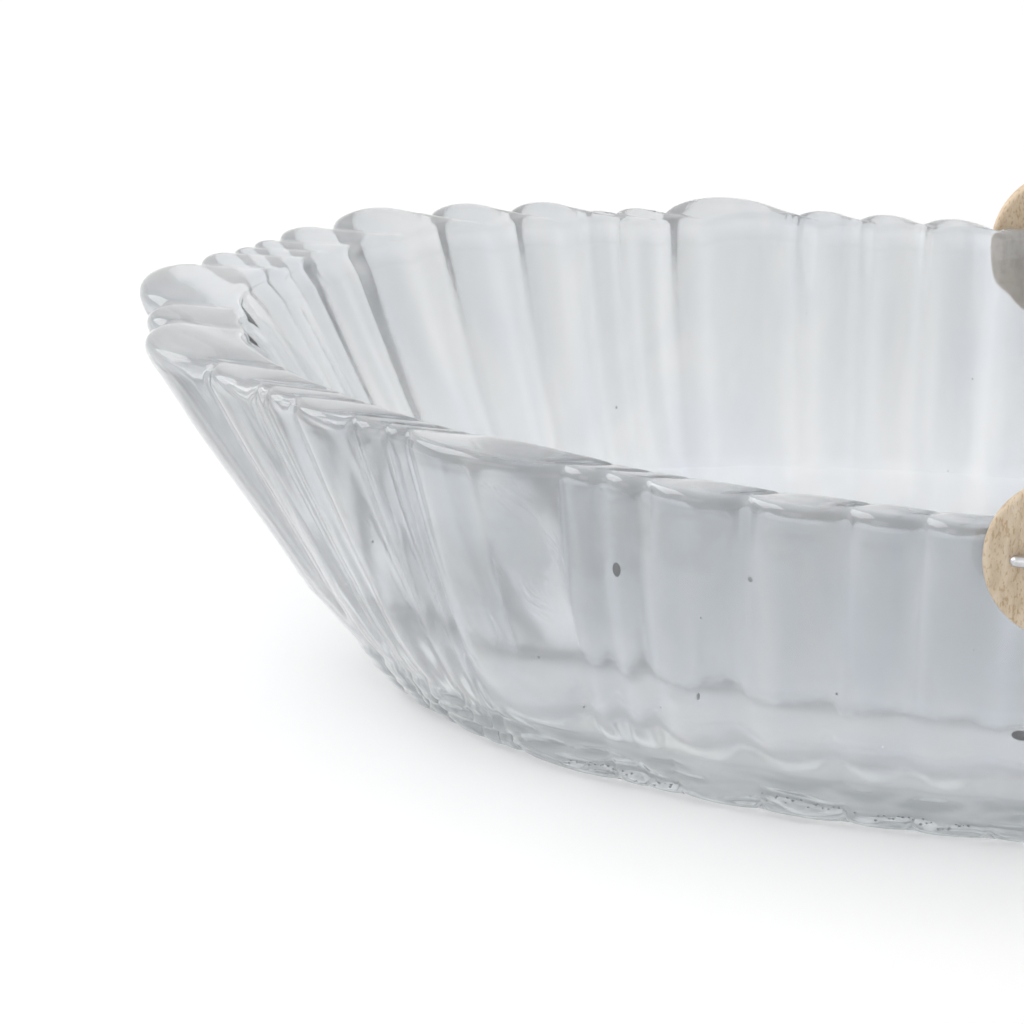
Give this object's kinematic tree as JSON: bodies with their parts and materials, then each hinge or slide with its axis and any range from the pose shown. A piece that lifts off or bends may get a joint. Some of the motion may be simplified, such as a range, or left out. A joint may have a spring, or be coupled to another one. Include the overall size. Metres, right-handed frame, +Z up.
{
  "type": "glass basket",
  "caption": "Oval pleated clear-glass basket with a scalloped rim, wooden end discs and a wire bail with a wooden grip that swings from end to end.",
  "frame": {"origin": "on the table, under the middle of the bowl", "axes": "+X along the bowl from one end to the other, +Y from the front handle disc to the rear one, +Z up"},
  "size_m": [0.3028, 0.1578, 0.2045],
  "materials": {
    "clear_glass": "fire-polished, faint cool tint, a few bubbles",
    "light_wood": "bare, sanded, fine dark pores",
    "steel_wire": "drawn wire, satin",
    "silicone": "translucent, matt"
  },
  "bodies": {
    "bowl": {"glass_bowl": "clear_glass", "front_hole_sleeve": "silicone", "rear_hole_sleeve": "silicone"},
    "bail": {"bail_wire": "steel_wire", "front_end_disc": "light_wood", "rear_end_disc": "light_wood"},
    "grip": {"handle_grip": "light_wood"}
  },
  "joints": [
    {"name": "bail_swing", "type": "hinge", "parent": "bowl", "child": "bail", "pos_m": [0, 0, 0.0555], "axis": [0, 1, 0], "range_deg": [-84, 84]},
    {"name": "grip_roll", "type": "hinge", "parent": "bail", "child": "grip", "pos_m": [0, 0, 0.1955], "axis": [0, 1, 0], "continuous": true}
  ]
}
